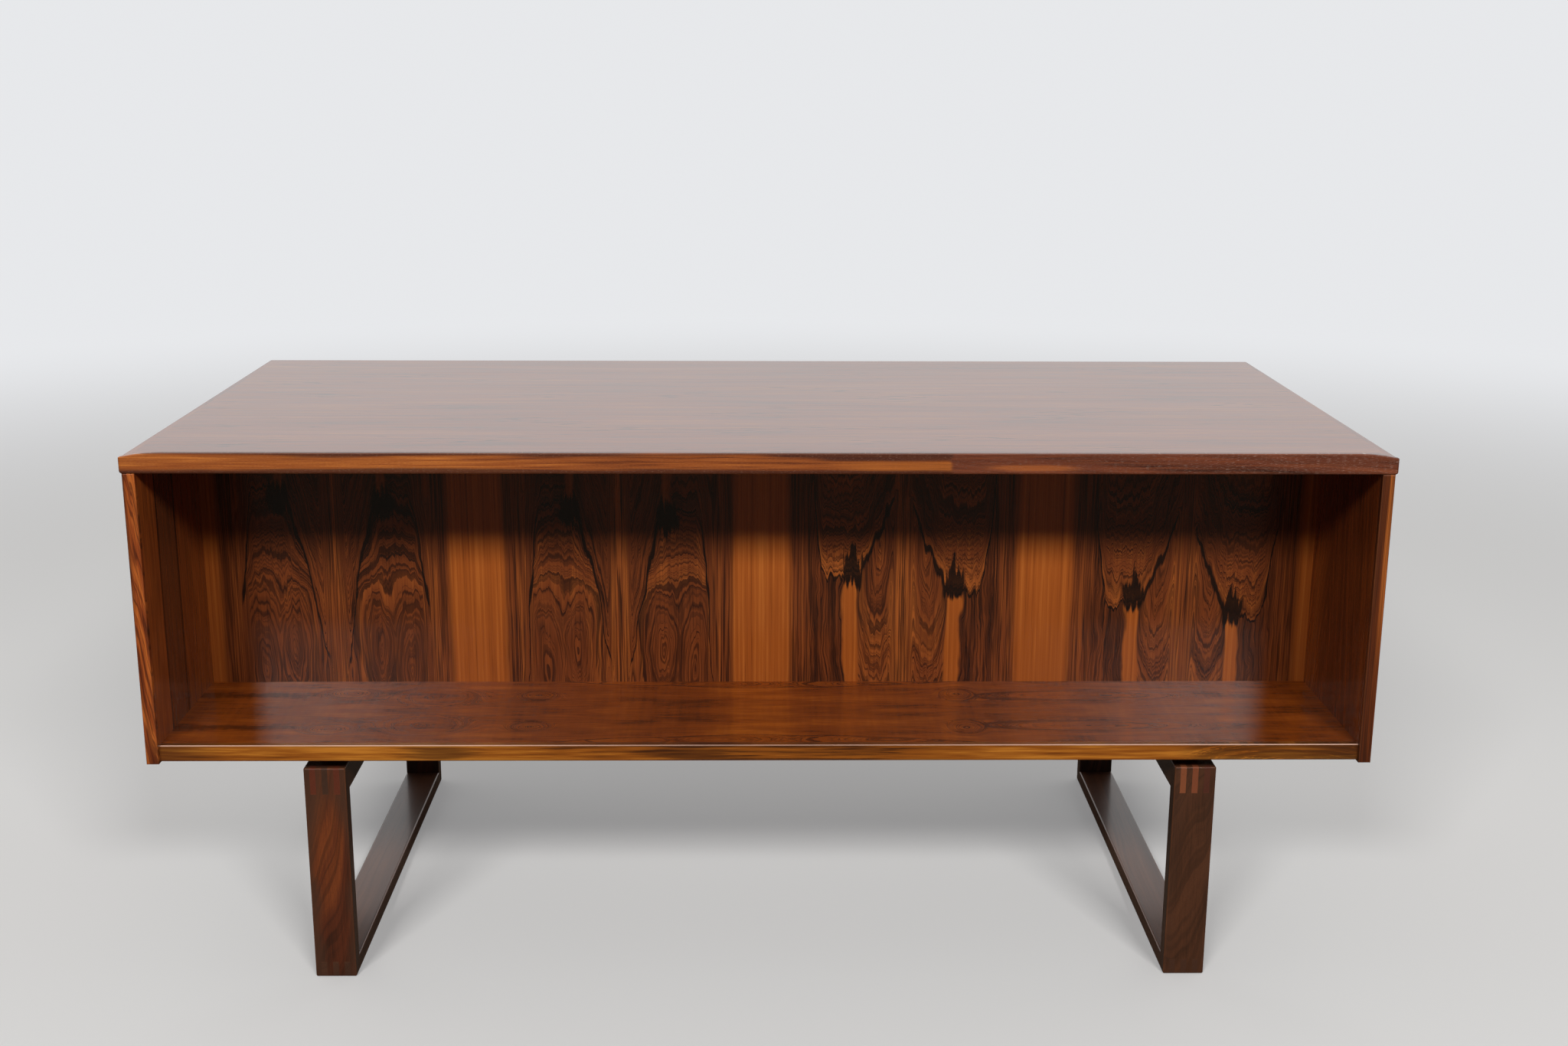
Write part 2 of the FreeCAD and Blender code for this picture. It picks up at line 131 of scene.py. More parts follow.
# From an arris, or from a joint or line in the wood
wear_span = (0.0022, 0.0002)
# Across the painted highlight on the shelf lipping's top arris
arris_highlight_span = (0.0018, 0.0006)
seam_blur_span = (-0.001, 0.001)
shelf_rim_line_span = (0.0018, 0.0004)

# Ovals in the wood's figure, each with its middle and then its half sizes: across a leaf of the
# panel and up, along the shelf and across it, or along a lipping and up as a share of its height
leaf_knots = ((0.060, 0.050, 0.012, 0.042), (0.106, 0.020, 0.015, 0.062))
leaf_loops = (0.036, 0.205, 0.024, 0.145)
shelf_eyes = (
    (-0.452, 0.056, 0.040, 0.026),
    (-0.575, 0.070, 0.022, 0.012),
    (-0.31, 0.062, 0.018, 0.012),
    (0.275, 0.066, 0.016, 0.016),
    (0.45, 0.060, 0.100, 0.014),
)
shelf_loops = (
    (-0.173, 0.112, 0.052, 0.011),
    (-0.066, 0.109, 0.040, 0.009),
    (0.164, 0.110, 0.048, 0.010),
)
shelf_dark_patch = (-0.12, 0.025, 0.075, 0.075)
shelf_light_patch = (0.02, 0.03, 0.10, 0.09)
lipping_spots = ((-0.42, 0.0, 0.05, 0.6), (-0.085, 0.0, 0.06, 0.7))
lipping_arcs = (0.70, -1.3, 0.14, 1.6)
lipping_lens = (0.34, -0.18, 0.06, 0.16)

# The splice in the desktop's front lipping, the side panels' dark lines and arch, and the rim
# in the shelf's figure: its distance from the leaves' joint, and its bow for each square metre
splice_place = 0.238
splice_blur = 0.003
splice_raggedness = 0.012
side_lines = (0.062, 0.134)
side_arch_middle = -0.195
shelf_rim_place = 0.094
shelf_rim_bow = 0.33

# The box joints of the leg frames, and how far in the tint of a finger's end reaches
corner_fingers = 7
finger_end_span = (0.012, 0.006)

# How much the fibres dull the gloss, and how strongly the grain is raised
fibre_dulling = 0.15
grain_strength = 0.6

# How far along the wood one seed lies from the next
seed_shift = 3.7


def tint(red, green, blue):
    """A colour named by its screen values from 0 to 255, as the shader's linear colour."""
    linear = []
    for value in (red, green, blue):
        level = value / 255
        linear.append(level / 12.92 if level <= 0.04045 else ((level + 0.055) / 1.055) ** 2.4)
    return (*linear, 1.0)


# Node arithmetic


class Field:
    """A socket of a node tree. Arithmetic on it adds nodes to that tree."""

    def __init__(self, tree, socket):
        self.tree = tree
        self.socket = socket

    def math(self, operation, *others):
        node = self.tree.nodes.new("ShaderNodeMath")
        node.operation = operation
        for socket, value in zip(node.inputs, (self, *others)):
            feed(self.tree, socket, value)
        return Field(self.tree, node.outputs[0])

    def __add__(self, other):
        return self.math("ADD", other)

    def __sub__(self, other):
        return self.math("SUBTRACT", other)

    def __rsub__(self, other):
        return self * -1.0 + other

    def __mul__(self, other):
        return self.math("MULTIPLY", other)

    def __truediv__(self, other):
        return self.math("DIVIDE", other)

    def __abs__(self):
        return self.math("ABSOLUTE")

    def toward(self, other, share):
        """This value where the share is 0, and the other one where it is 1."""
        return self + (other - self) * share

    def smooth(self, low, high):
        """From 0 at low to 1 at high along an S curve, clamped. High may be the smaller."""
        node = self.tree.nodes.new("ShaderNodeMapRange")
        node.interpolation_type = "SMOOTHSTEP"
        feed(self.tree, node.inputs["Value"], self)
        swapped = not isinstance(low, Field) and low > high
        feed(self.tree, node.inputs["From Min"], high if swapped else low)
        feed(self.tree, node.inputs["From Max"], low if swapped else high)
        node.inputs["To Min"].default_value = 1.0 if swapped else 0.0
        node.inputs["To Max"].default_value = 0.0 if swapped else 1.0
        return Field(self.tree, node.outputs["Result"])


def feed(tree, socket, value):
    """Links a field to a socket, or sets the socket to a plain value."""
    if isinstance(value, Field):
        tree.links.new(value.socket, socket)
    else:
        socket.default_value = value


def point(tree, x, y, z):
    node = tree.nodes.new("ShaderNodeCombineXYZ")
    for socket, value in zip(node.inputs, (x, y, z)):
        feed(tree, socket, value)
    return Field(tree, node.outputs[0])


def split(vector):
    node = vector.tree.nodes.new("ShaderNodeSeparateXYZ")
    feed(vector.tree, node.inputs[0], vector)
    return [Field(vector.tree, socket) for socket in node.outputs]


def noise(tree, x, y, z, detail=2.0, roughness=0.5):
    """Smooth noise about 0, mostly within 0.25 either way."""
    node = tree.nodes.new("ShaderNodeTexNoise")
    feed(tree, node.inputs["Vector"], point(tree, x, y, z))
    node.inputs["Scale"].default_value = 1.0
    node.inputs["Detail"].default_value = detail
    node.inputs["Roughness"].default_value = roughness
    return Field(tree, node.outputs["Fac"]) - 0.5


def mix(factor, first, second):
    """The first colour where the factor is 0, and the second where it is 1."""
    tree = factor.tree
    node = tree.nodes.new("ShaderNodeMix")
    node.data_type = "RGBA"
    feed(tree, node.inputs[0], factor)
    feed(tree, node.inputs[6], first)
    feed(tree, node.inputs[7], second)
    return Field(tree, node.outputs[2])


def object_place(tree):
    node = tree.nodes.new("ShaderNodeTexCoord")
    return Field(tree, node.outputs["Object"])


def along_grain(place, axis):
    """The place turned so that its first coordinate runs along the grain."""
    x, y, z = split(place)
    order = {"X": (x, y, z), "Y": (y, z, x), "Z": (z, x, y)}[axis]
    return point(place.tree, *order)


def new_group(name, inputs, outputs):
    """A node group with its own sockets: the tree, the inputs as fields, and the output node."""
    tree = bpy.data.node_groups.new(name, "ShaderNodeTree")
    for label, (kind, default) in inputs.items():
        socket = tree.interface.new_socket(label, in_out="INPUT", socket_type="NodeSocket" + kind)
        if default is not None:
            socket.default_value = default
    for label, kind in outputs.items():
        tree.interface.new_socket(label, in_out="OUTPUT", socket_type="NodeSocket" + kind)
    entry = tree.nodes.new("NodeGroupInput")
    given = {label: Field(tree, entry.outputs[label]) for label in inputs}
    return tree, given, tree.nodes.new("NodeGroupOutput")


def use_group(tree, group, values):
    node = tree.nodes.new("ShaderNodeGroup")
    node.node_tree = group
    for label, value in values.items():
        feed(tree, node.inputs[label], value)
    return {socket.name: Field(tree, socket) for socket in node.outputs}


# Wood


def tone_colour(tone, dark, middle, light):
    """From dark through middle to light as the tone goes from 0 to 1."""
    return mix(tone.smooth(0.45, 0.95), mix(tone.smooth(0.05, 0.5), dark, middle), light)


def thin_lines(tree, field, along, drift, per_metre, width):
    """Thin dark lines of uneven spacing where a noise in the field crosses zero."""
    wander = noise(tree, field * per_metre, along, drift)
    strength = noise(tree, field * per_metre * 0.3, along * 1.3, drift + 5.0) * 1.4 + 0.72
    return abs(wander).smooth(width, width * 0.25) * strength.math("MINIMUM", 1.0)


def rings(inward, upward, centre_in, centre_up, half_in, half_up):
    """Nested ovals round a centre: 0 in the middle and 1 on the oval with the two half sizes."""
    inward_square = ((inward - centre_in) / half_in).math("POWER", 2.0)
    upward_square = ((upward - centre_up) / half_up).math("POWER", 2.0)
    return (inward_square + upward_square).math("SQRT")


def nearest_rings(inward, upward, ovals, softness):
    """Rings round the nearest of several ovals, with soft joins."""
    joined = rings(inward, upward, *ovals[0])
    for oval in ovals[1:]:
        joined = joined.math("SMOOTH_MIN", rings(inward, upward, *oval), softness)
    return joined


def grain_group():
    """Solid rosewood: growth rings round a tapered pith, with ink lines, mottle, fibre and pores."""
    inputs = {
        "Place": ("Vector", None),
        "Pith": ("Vector", None),
        "Seed": ("Float", None),
        "Taper": ("Float", 0.02),
        "Sway": ("Float", 0.02),
        "Rings": ("Float", 100.0),
        "Contrast": ("Float", 1.0),
        "Lines": ("Float", 0.3),
        "Ink": ("Float", 0.4),
        "Flecks": ("Float", 0.0),
        "Dark": ("Color", None),
        "Middle": ("Color", None),
        "Light": ("Color", None),
    }
    outputs = {"Colour": "Color", "Roughness": "Float", "Height": "Float"}
    tree, given, result = new_group("rosewood grain", inputs, outputs)
    x, y, z = split(given["Place"])
    _, pith_y, pith_z = split(given["Pith"])
    seed = given["Seed"]
    along = x + seed * seed_shift

    # Distance from the pith, which the taper and the waver draw out into figure
    sway = noise(tree, along * 1.6, y * 9 + seed, z * 9)
    ripple = noise(tree, along * 9, y * 50 + seed, z * 50)
    from_y = y - pith_y
    from_z = z - pith_z
    radius = (from_y * from_y + from_z * from_z).math("SQRT")
    ring = radius - x * given["Taper"] + sway * given["Sway"] + ripple * 0.003

    broad = noise(tree, ring * 18, along * 0.8, seed)
    lines = noise(tree, ring * given["Rings"], along * 1.2, seed, detail=4.0, roughness=0.6)
    mottle = noise(tree, along * 5, y * 30, z * 30 + seed)
    fibre = noise(tree, along * 22, y * 1100, z * 1100)
    tone = (broad * 1.1 + lines * 1.2 + mottle * 0.5 + fibre * 0.5) * given["Contrast"] + 0.5
    wood = tone_colour(tone, given["Dark"], given["Middle"], given["Light"])

    thin = thin_lines(tree, ring, along * 1.5, seed, given["Rings"] * 1.3, 0.055)
    wood = mix(thin * given["Lines"], wood, given["Dark"])
    streak = noise(tree, ring * 55, along * 0.8, seed, detail=3.0)
    ink = (streak + lines * 0.45).smooth(0.13, 0.22) * given["Ink"]
    wood = mix(ink, wood, tint(17, 9, 7))
    pore = noise(tree, along * 240, y * 1900, z * 1900, detail=1.0).smooth(0.10, 0.2)
    wood = mix(pore * 0.4, wood, given["Dark"])
    wood = mix(pore * given["Flecks"], wood, tint(205, 165, 140))
    feed(tree, result.inputs["Colour"], wood)
    feed(tree, result.inputs["Roughness"], fibre * 0.18 + pore * 0.12)
    feed(tree, result.inputs["Height"], fibre * 0.35 - pore)
    return tree


def wear_group():
    """How close a place is to an arris of its board's box, from 0 to 1."""
    inputs = {"Place": ("Vector", None), "Middle": ("Vector", None), "Half": ("Vector", None)}
    tree, given, result = new_group("arris wear", inputs, {"Wear": "Float"})
    places, middles, halves = (split(given[label]) for label in inputs)
    gaps = [half - abs(at - middle) for at, middle, half in zip(places, middles, halves)]
    least = gaps[0].math("MINIMUM", gaps[1]).math("MINIMUM", gaps[2])
    most = gaps[0].math("MAXIMUM", gaps[1]).math("MAXIMUM", gaps[2])
    second = gaps[0] + gaps[1] + gaps[2] - least - most
    x, y, z = places
    patch = noise(tree, x * 25, y * 25, z * 25, detail=3.0) + 0.5
    feed(tree, result.inputs["Wear"], second.smooth(*wear_span) * patch)
    return tree


grain = grain_group()
wear = wear_group()


def palette(dark, middle, light):
    return {"Dark": tint(*dark), "Middle": tint(*middle), "Light": tint(*light)}


rosewood = palette((52, 25, 15), (112, 57, 30), (158, 86, 42))
red_brown = palette((58, 27, 18), (112, 56, 36), (144, 78, 50))
dim_orange = palette((44, 19, 9), (104, 48, 18), (164, 86, 28))
post_brown = palette((48, 27, 18), (92, 44, 25), (132, 66, 31))
post_grey = palette((52, 32, 21), (88, 52, 33), (112, 70, 46))
mahogany = palette((120, 72, 46), (160, 102, 66), (190, 132, 92))

satin = {
    "roughness": 0.36,
    "coat": 0.6,
    "coat_roughness": 0.16,
    "specular": 0.4,
    "relief": 0.00012,
    "wear": 0.35,
    "worn": tint(176, 104, 62),
}
polished = {
    **satin,
    "roughness": 0.38,
    "coat": 1.0,
    "coat_roughness": 0.22,
    "specular": 0.5,
    "wear": 0.2,
}
inside = {
    **satin,
    "roughness": 0.20,
    "coat": 0.0,
    "specular": 0.5,
}
shelf_finish = {
    **inside,
    "roughness": 0.14,
    "relief": 0.00004,
}
plain = {
    **satin,
    "roughness": 0.5,
    "coat": 0.0,
    "specular": 0.3,
    "wear": 0.15,
    "worn": tint(214, 170, 132),
}


def new_material(name):
    """A new material, its node tree and its shader."""
    material = bpy.data.materials.new(name)
    material.use_nodes = True
    tree = material.node_tree
    return material, tree, tree.nodes["Principled BSDF"]


def worn(tree, place, node_name, colour, finish):
    """The colour, a little rubbed along the arrises of one node's box."""
    low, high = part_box(node_name)
    box = {"Place": place, "Middle": (low + high) / 2, "Half": (high - low) / 2}
    found = use_group(tree, wear, box)
    return mix(found["Wear"] * finish["wear"], colour, finish["worn"])


def finish_board(tree, shader, colour, roughness, height, finish):
    """Feeds the shader a colour, a lacquer and a raised grain."""
    feed(tree, shader.inputs["Base Color"], colour)
    feed(tree, shader.inputs["Roughness"], roughness + finish["roughness"])
    shader.inputs["Coat Weight"].default_value = finish["coat"]
    shader.inputs["Coat Roughness"].default_value = finish["coat_roughness"]
    shader.inputs["Specular IOR Level"].default_value = finish["specular"]
    bump = tree.nodes.new("ShaderNodeBump")
    bump.inputs["Strength"].default_value = grain_strength
    bump.inputs["Distance"].default_value = finish["relief"]
    feed(tree, bump.inputs["Height"], height)
    tree.links.new(bump.outputs[0], shader.inputs["Normal"])


def finish_veneer(tree, shader, colour, fibre, finish):
    """The same for a board whose fibres alone raise the grain and dull the gloss."""
    finish_board(tree, shader, colour, fibre * fibre_dulling, fibre, finish)


def dress(node_name, material):
    """Puts one material on every slot of a node."""
    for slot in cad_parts[node_name].material_slots:
        slot.material = material


def board_place(tree, place, axis, middle):
    """A place measured from the middle of a board, turned so that the grain comes first."""
    x, y, z = split(place)
    return along_grain(point(tree, x - middle.x, y - middle.y, z - middle.z), axis)


def dress_solid(node_name, axis, colours, finish, seed, pith=(0.1, -0.25), middle=None, **changes):
    """Dresses a board in solid wood with its grain along an axis, round a pith beside its middle."""
    material, tree, shader = new_material("wood." + node_name)
    place = object_place(tree)
    low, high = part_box(node_name)
    turned = board_place(tree, place, axis, middle or (low + high) / 2)
    values = {"Place": turned, "Pith": Vector((0.0, *pith)), "Seed": seed, **colours, **changes}
    found = use_group(tree, grain, values)
    colour = worn(tree, place, node_name, found["Colour"], finish)
    finish_board(tree, shader, colour, found["Roughness"], found["Height"], finish)
    dress(node_name, material)


# The desktop


def long_lipping_wood(tree, x, height, wisp):
    """Orange wood with dark arrises and a golden end beside the splice."""
    rub = noise(tree, x * 3.4, height * 1.3, 4.0)
    hair = noise(tree, x * 16, height * 34, 6.0, detail=3.0)
    fleck = noise(tree, x * 260, height * 60, 9.0)
    low_edge = (rub * 0.45 + wisp * 0.3 + fleck * 0.10 - height).smooth(0.20, 0.34)
    crest = x.smooth(*crest_span) * 0.20
    high_edge = (height - rub * 0.7 + wisp * 0.3 + fleck * 0.10 + crest).smooth(0.33, 0.48)
    dark_edge = low_edge.math("MAXIMUM", high_edge)
    dimmed = x.smooth(*dimmed_span) * 0.16
    tone = rub * 0.8 + wisp * 1.1 + hair * 0.9 + fleck * 0.5 + 0.56 - dimmed
    wood = tone_colour(tone, tint(98, 44, 22), tint(160, 84, 36), tint(208, 123, 54))
    golden_end = x.smooth(*golden_span) * abs(height + 0.12).smooth(0.34, 0.12) * 0.4
    wood = mix(golden_end, wood, tint(206, 118, 46))
    wood = mix(dark_edge * 0.85, wood, tint(70, 34, 26))
    wood = mix(fleck.smooth(0.10, 0.20) * (dark_edge * 0.4 + 0.1), wood, tint(176, 136, 116))
    return mix(hair.smooth(0.10, 0.22) * dark_edge * 0.7, wood, tint(34, 20, 18))


def short_lipping_wood(tree, x, height, wisp, base):
    """Dark wood with a golden lens, and pale hairs that crowd towards the right end."""
    pale_hair = noise(tree, x * 150, height * 70, 8.0)
    pale = pale_hair.smooth(0.10, 0.20) * (x.smooth(*pale_hair_span) * 0.6 + 0.15)
    lens = rings(x, height, *lipping_lens) + wisp * 2.0
    wood = mix(wisp.smooth(-0.05, 0.16) * 0.45, base, tint(140, 72, 40))
    wood = mix(lens.smooth(1.2, 0.5) * 0.7, wood, tint(180, 98, 46))
    wood = mix(pale, wood, tint(190, 160, 144))
    return mix(pale_hair.smooth(-0.10, -0.22) * 0.5, wood, tint(44, 20, 15))


def front_lipping_material():
    """Two lengths of lipping, butted together: orange wood, and dark wood with pale pores."""
    name = "desktop_lipping_front"
    material, tree, shader = new_material("wood." + name)
    place = object_place(tree)
    low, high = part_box(name)
    middle = (low + high) / 2
    turned = board_place(tree, place, "X", middle)
    x, _, z = split(place)
    height = (z - middle.z) / (high.z - low.z)
    wisp = noise(tree, x * 8, height * 9, 5.0, detail=4.0)

    # The long part's colour is painted, so it takes only fibres and pores from the grain
    long_part = use_group(tree, grain, {"Place": turned, "Seed": 2.0})
    short_part = use_group(tree, grain, {
        "Place": turned, "Pith": Vector((0.0, 0.04, 0.03)), "Seed": 5.0, "Taper": 0.045,
        "Sway": 0.03, "Rings": 150.0, "Lines": 0.4, "Ink": 0.25, "Flecks": 0.1, **red_brown,
    })
    long_wood = long_lipping_wood(tree, x, height, wisp)
    short_wood = short_lipping_wood(tree, x, height, wisp, short_part["Colour"])
    ragged = noise(tree, x * 20, height * 3, 2.0) * splice_raggedness
    splice = (x + ragged).smooth(splice_place - splice_blur, splice_place + splice_blur)
    colour = worn(tree, place, name, mix(splice, long_wood, short_wood), satin)
    roughness = long_part["Roughness"].toward(short_part["Roughness"], splice)
    raised = long_part["Height"].toward(short_part["Height"], splice)
    finish_board(tree, shader, colour, roughness, raised, satin)
    return material


def desktop_material(name, axis, seed):
    """Quiet veneer under a bright lacquer, with short dark streaks that lie in clusters."""
    material, tree, shader = new_material("wood." + name)
    place = object_place(tree)
    x, y, z = split(along_grain(place, axis))
    along = x + seed * seed_shift
    across = y + z
    broad = noise(tree, along * 2.2, across * 13, seed)
    patch = noise(tree, along * 5, across * 60, seed + 1.0)
    fibre = noise(tree, along * 40, across * 500, seed + 2.0, detail=3.0)
    streak = noise(tree, along * 24, across * 190, seed + 3.0, detail=3.0)
    cluster = noise(tree, along * 4.5, across * 16, seed + 4.0).smooth(0.02, 0.18)
    tone = broad * 0.8 + patch * 0.9 + fibre + 0.50
    wood = tone_colour(tone, tint(96, 50, 34), tint(142, 74, 44), tint(172, 104, 58))
    wood = mix(cluster * streak.smooth(0.02, 0.16) * 0.75, wood, tint(34, 26, 26))
    wood = mix(streak.smooth(0.12, 0.24) * 0.35, wood, tint(60, 32, 22))
    lines = thin_lines(tree, across + broad * 0.02, along * 0.8, seed + 6.0, 150, 0.06)
    wood = mix(lines * 0.3, wood, tint(60, 32, 24))
    wood = worn(tree, place, name, wood, polished)
    finish_board(tree, shader, wood, fibre * fibre_dulling + patch * 0.10, fibre, polished)
    return material


def dress_top():
    dress("desktop_lipping_front", front_lipping_material())
    boards = {
        "desktop_panel": ("X", 1.0),
        "desktop_lipping_rear": ("X", 3.0),
        "desktop_lipping_left": ("Y", 4.0),
        "desktop_lipping_right": ("Y", 5.0),
    }
    for name, (axis, seed) in boards.items():
        dress(name, desktop_material(name, axis, seed))


# The case


def shelf_material():
    """Two leaves that mirror each other about the shelf's middle, with eyes and with loops."""
    material, tree, shader = new_material("wood.bay_shelf")
    x, y, _ = split(object_place(tree))
    middle = (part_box("bay_shelf")[0].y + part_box("bay_back_panel")[0].y) / 2
    across = abs(y - middle)
    roll = noise(tree, x * 6, across * 16, 1.0)
    curl = noise(tree, x * 16, across * 34, 2.0)
    fray = noise(tree, x * 60, across * 170, 3.0)

    # The lines run along the leaf, bend round its eyes, and open into loops beyond a bowed rim
    eyes = nearest_rings(x, across, shelf_eyes, 0.6)
    loops = nearest_rings(x, across, shelf_loops, 0.5)
    near_eyes = eyes.smooth(2.6, 1.0)
    rim = across - x * x * shelf_rim_bow - shelf_rim_place + curl * 0.010
    beyond_rim = rim.smooth(*seam_blur_span)
    field = across + roll * 0.030 + curl * 0.012 + fray * 0.003
    field = field.toward(eyes * 0.020 + fray * 0.006, near_eyes)
    field = field.toward(loops * 0.011 + fray * 0.004, beyond_rim)

    broad = noise(tree, field * 26, x * 1.5, 4.0)
    fibre = noise(tree, x * 20, y * 900, 5.0)
    mottle = noise(tree, x * 9, across * 40, 6.0, detail=3.0)
    ripple = noise(tree, x * 130, across * 12, 7.0)
    dusk = rings(x, across, *shelf_dark_patch).smooth(1.4, 0.3)
    dawn = rings(x, across, *shelf_light_patch).smooth(1.3, 0.3)
    ends = abs(x).smooth(*shelf_end_span)
    tone = broad + mottle * 1.1 + fibre * 0.9 + ripple * 0.25 + dawn * 0.16 - dusk * 0.14
    tone = tone - ends * 0.08 + 0.50
    wood = tone_colour(tone, tint(84, 38, 12), tint(140, 66, 18), tint(176, 92, 25))
    strength = near_eyes * 0.55 + beyond_rim * 0.45 + 0.3
    lines = thin_lines(tree, field, x * 3, 8.0, 230, 0.07)
    wood = mix(lines * strength, wood, tint(48, 20, 11))
    edge_line = abs(rim).smooth(*shelf_rim_line_span) * (fray + 0.6)
    wood = mix(edge_line, wood, tint(38, 17, 11))
    finish_veneer(tree, shader, wood, fibre, shelf_finish)
    return material


def shelf_lipping_material():
    """Golden wood with dark spots and ends, growth arcs near the right end, and a painted highlight
    along the top arris.
    """
    name = "bay_shelf_lipping"
    material, tree, shader = new_material("wood." + name)
    place = object_place(tree)
    low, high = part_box(name)
    x, y, z = split(place)
    height = (z - (low.z + high.z) / 2) / (high.z - low.z)
    roll = noise(tree, x * 3, height * 1.2, y * 8)
    wisp = noise(tree, x * 10, height * 6, 5.0, detail=4.0)
    hair = noise(tree, x * 22, height * 30, 6.0, detail=3.0)
    middle_shade = abs(x).smooth(*lipping_middle_span) * 0.20
    tone = roll * 1.2 + wisp * 1.2 + hair * 0.9 + 0.58 - middle_shade
    wood = tone_colour(tone, tint(72, 34, 8), tint(152, 82, 19), tint(204, 128, 42))
    first_spot, second_spot = (rings(x, height, *spot) for spot in lipping_spots)
    spots = first_spot.math("MINIMUM", second_spot)
    wood = mix((spots + wisp * 2.5).smooth(1.3, 0.4) * 0.65, wood, tint(58, 26, 8))
    arcs = rings(x, height, *lipping_arcs) + wisp * 0.2
    arc_lines = thin_lines(tree, arcs, height * 0.2, 3.0, 16, 0.09)
    wood = mix(arc_lines * x.smooth(*lipping_arcs_span) * 0.8, wood, tint(48, 24, 8))
    ends = abs(x).smooth(*lipping_end_span) * 0.6
    wood = mix(ends, wood, tint(66, 32, 14))
    edges = (abs(height) + wisp * 0.3).smooth(0.34, 0.52) * 0.5
    wood = mix(edges, wood, tint(66, 34, 12))
    wood = worn(tree, place, name, wood, satin)
    # A painted highlight along the top arris, stronger towards the ends
    painted_arris_highlight = (y - low.y).smooth(*arris_highlight_span) * height.smooth(0.43, 0.47)
    arris_highlight_strength = abs(x).smooth(*arris_highlight_strength_span) * 0.35 + 0.45
    wood = mix(painted_arris_highlight * arris_highlight_strength, wood, tint(232, 190, 168))
    finish_veneer(tree, shader, wood, hair, satin)
    return material


def edge_material(side):
    """A side panel's narrow front edge: slanting flames on the left, straight stripes on the right."""
    name = f"side_lipping_{side}_front"
    material, tree, shader = new_material("wood." + name)
    place = object_place(tree)
    low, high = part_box(name)
    x, y, z = split(place)
    across = (x - (low.x + high.x) / 2) / (high.x - low.x)
    rise = (z - low.z) / (high.z - low.z)
    hair = noise(tree, across * 22, z * 12, 6.0, detail=3.0)
    roll = noise(tree, across, z * 7, y * 5)
    if side == "left":
        slant = z * 9 + across * 0.9 + roll * 0.9
        flames = noise(tree, slant * 2.6, across * 0.7, 1.0)
        tone = flames * 2.2 + hair * 1.1 + 0.62
        wood = tone_colour(tone, tint(70, 26, 10), tint(146, 66, 25), tint(196, 104, 42))
        lines = thin_lines(tree, slant * 0.1, across * 0.4, 2.0, 34, 0.05)
        wood = mix(lines * 0.8, wood, tint(56, 18, 8))
        shade = (roll * 0.6 - across).smooth(0.22, 0.50) * rise.smooth(0.25, 0.8) * 0.75
        shade = shade + rise.smooth(0.12, 0.02) * 0.3
    else:
        tone = hair * 1.1 + roll * 0.5 + rise * 0.22 + 0.32
        wood = tone_colour(tone, tint(66, 26, 10), tint(118, 54, 20), tint(150, 78, 28))
        stripe = abs(across - 0.28 + roll * 0.15).smooth(0.26, 0.12) * rise.smooth(0.25, 0.75)
        wood = mix(stripe * 0.85, wood, tint(196, 108, 44))
        lines = thin_lines(tree, across * 0.02 + roll * 0.002, z * 1.5, 3.0, 420, 0.10)
        wood = mix(lines * 0.75, wood, tint(40, 18, 10))
        shade = (roll * 0.4 - across).smooth(0.05, 0.40) * 0.6
    wood = mix(shade, wood, tint(56, 24, 12))
    wood = worn(tree, place, name, wood, satin)
    finish_veneer(tree, shader, wood, hair, satin)
    return material


def side_material(side):
    """Quiet veneer between two thin dark lines on the left, a tall arch of pale lines on the right."""
    name = "side_panel_" + side
    material, tree, shader = new_material("wood." + name)
    place = object_place(tree)
    low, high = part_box(name)
    x, y, z = split(place)
    sway = noise(tree, z * 2.2, y * 12, x * 3)
    fray = noise(tree, z * 14, y * 160, x * 40, detail=3.0)
    fibre = noise(tree, z * 16, y * 800, x * 300)
    from_front = y - low.y
    if side == "left":
        field = from_front + sway * 0.012 + fray * 0.0015
        broad = noise(tree, field * 16, z * 0.7, 4.0) * 0.7
        warm_back = field.smooth(*left_back_span) * 0.1
        warm = field.smooth(*left_front_span).math("MAXIMUM", warm_back)
        first_line = abs(field - side_lines[0]).smooth(*first_line_span)
        second_line = abs(field - side_lines[1]).smooth(*second_line_span)
        lines = first_line.math("MAXIMUM", second_line)
        pale = thin_lines(tree, field, z * 1.2, 6.0, 120, 0.07) * 0.12
        tones = tint(74, 34, 15), tint(132, 66, 28), tint(188, 96, 38)
    else:
        arch = (abs(y - side_arch_middle) + 0.004).math("POWER", 1.25) * 2.0
        field = arch + (z - high.z) * 0.20 + sway * 0.020 + fray * 0.003
        broad = noise(tree, field * 45, z * 0.9, 4.0)
        warm = from_front.smooth(*right_back_span)
        lines = thin_lines(tree, field, z * 1.2, 2.0, 170, 0.05) * 0.6
        pale = thin_lines(tree, field, z * 1.2, 6.0, 210, 0.07) * 0.4
        tones = tint(54, 23, 9), tint(110, 50, 18), tint(150, 74, 28)
    tone = broad + fray * 0.7 + fibre * 0.5 + warm * 0.26 + 0.44
    wood = tone_colour(tone, *tones)
    if side == "left":
        between_lines = abs(field - sum(side_lines) / 2).smooth(*between_lines_span)
        wood = mix(between_lines * 0.5, wood, tint(92, 54, 34))
    wood = mix(lines * 0.85, wood, tint(34, 14, 8))
    wood = mix(pale, wood, tones[2])
    wood = worn(tree, place, name, wood, inside)
    finish_veneer(tree, shader, wood, fibre, inside)
    return material


